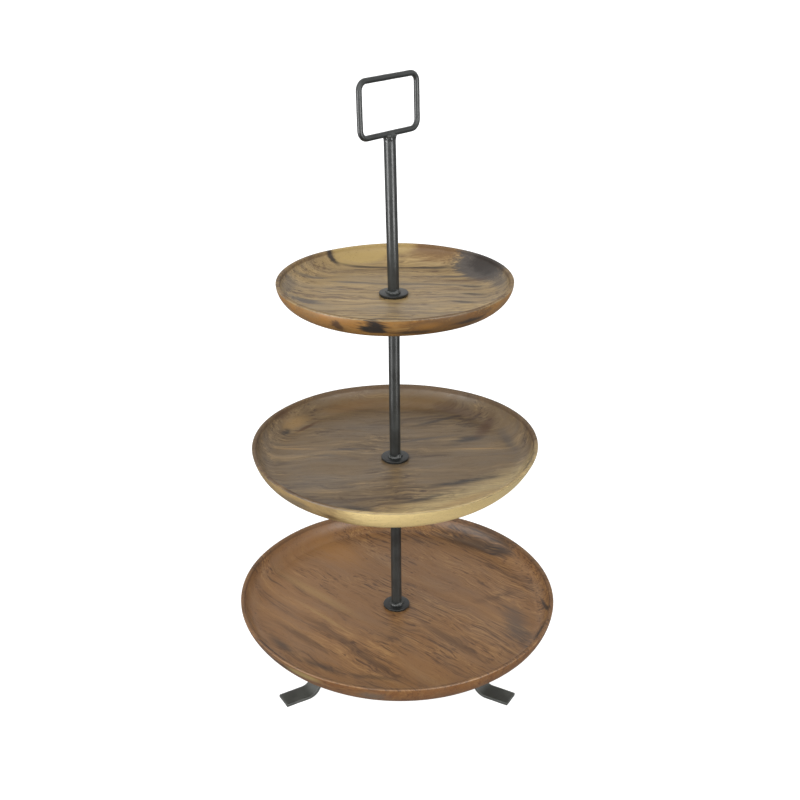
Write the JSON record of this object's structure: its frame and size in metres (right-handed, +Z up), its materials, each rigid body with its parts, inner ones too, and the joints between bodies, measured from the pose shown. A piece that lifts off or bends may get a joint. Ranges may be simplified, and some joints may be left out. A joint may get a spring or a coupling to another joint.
{
  "type": "tiered cake stand",
  "caption": "Free-standing cake stand: round dished wooden trays that grow smaller upwards on a steel post with a rectangular loop handle and bent strap legs; trays turn and posts unscrew.",
  "frame": {"origin": "on the ground, on the post's axis, at the centre of the stand's footprint", "axes": "+Z up along the post, -Y towards the front, between the two front legs"},
  "size_m": [0.3, 0.3, 0.5727],
  "materials": {
    "iron": "satin black powder coat on mild steel",
    "weld": "powder-coated weld bead, glossier than the bar",
    "zinc": "bright zinc-plated thread",
    "rubber": "matt black rubber",
    "wood_top": "acacia, satin oiled, mid brown with pale sapwood",
    "wood_middle": "acacia, satin oiled, dark brown with a pale sapwood edge",
    "wood_bottom": "acacia, satin oiled, reddish brown"
  },
  "bodies": {
    "base": {"leg_left": "iron", "leg_right": "iron", "leg_back": "iron", "hub_plate": "iron", "hub_nut": "iron", "base_welds": "weld"},
    "bottom_tray": {"bottom_tray": "wood_bottom"},
    "bottom_rubber_washer": {"bottom_rubber_washer": "rubber"},
    "lower_section": {"lower_stud": "zinc", "lower_flange": "iron", "lower_flange_weld": "weld", "lower_post": "iron", "middle_support_washer": "iron"},
    "middle_tray": {"middle_tray": "wood_middle"},
    "middle_rubber_washer": {"middle_rubber_washer": "rubber"},
    "middle_section": {"middle_stud": "zinc", "middle_flange": "iron", "middle_flange_weld": "weld", "middle_post": "iron", "top_support_washer": "iron"},
    "top_tray": {"top_tray": "wood_top"},
    "top_rubber_washer": {"top_rubber_washer": "rubber"},
    "upper_section": {"upper_stud": "zinc", "upper_flange": "iron", "upper_flange_weld": "weld", "upper_post": "iron", "handle_loop": "iron", "handle_weld": "weld"}
  },
  "joints": [
    {"name": "bottom_tray_turn", "type": "hinge", "parent": "base", "child": "bottom_tray", "pos_m": [0, 0, 0.063], "axis": [0, 0, 1], "continuous": true},
    {"name": "lower_unscrew", "type": "hinge", "parent": "base", "child": "bottom_rubber_washer", "pos_m": [0, 0, 0.0669], "axis": [0, 0, 1], "range_deg": [0, 3600]},
    {"name": "lower_rise", "type": "slide", "parent": "bottom_rubber_washer", "child": "lower_section", "axis": [0, 0, 1], "range_m": [0, 0.01]},
    {"name": "middle_tray_turn", "type": "hinge", "parent": "lower_section", "child": "middle_tray", "pos_m": [0, 0, 0.2246], "axis": [0, 0, 1], "continuous": true},
    {"name": "middle_unscrew", "type": "hinge", "parent": "lower_section", "child": "middle_rubber_washer", "pos_m": [0, 0, 0.2282], "axis": [0, 0, 1], "range_deg": [0, 3600]},
    {"name": "middle_rise", "type": "slide", "parent": "middle_rubber_washer", "child": "middle_section", "axis": [0, 0, 1], "range_m": [0, 0.01]},
    {"name": "top_tray_turn", "type": "hinge", "parent": "middle_section", "child": "top_tray", "pos_m": [0, 0, 0.3836], "axis": [0, 0, 1], "continuous": true},
    {"name": "upper_unscrew", "type": "hinge", "parent": "middle_section", "child": "top_rubber_washer", "pos_m": [0, 0, 0.387], "axis": [0, 0, 1], "range_deg": [0, 3600]},
    {"name": "upper_rise", "type": "slide", "parent": "top_rubber_washer", "child": "upper_section", "axis": [0, 0, 1], "range_m": [0, 0.01]}
  ],
  "couplings": [
    {"joint": "lower_unscrew", "follows": "lower_rise", "rad_per_m": 6283.2},
    {"joint": "middle_unscrew", "follows": "middle_rise", "rad_per_m": 6283.2},
    {"joint": "upper_unscrew", "follows": "upper_rise", "rad_per_m": 6283.2}
  ]
}
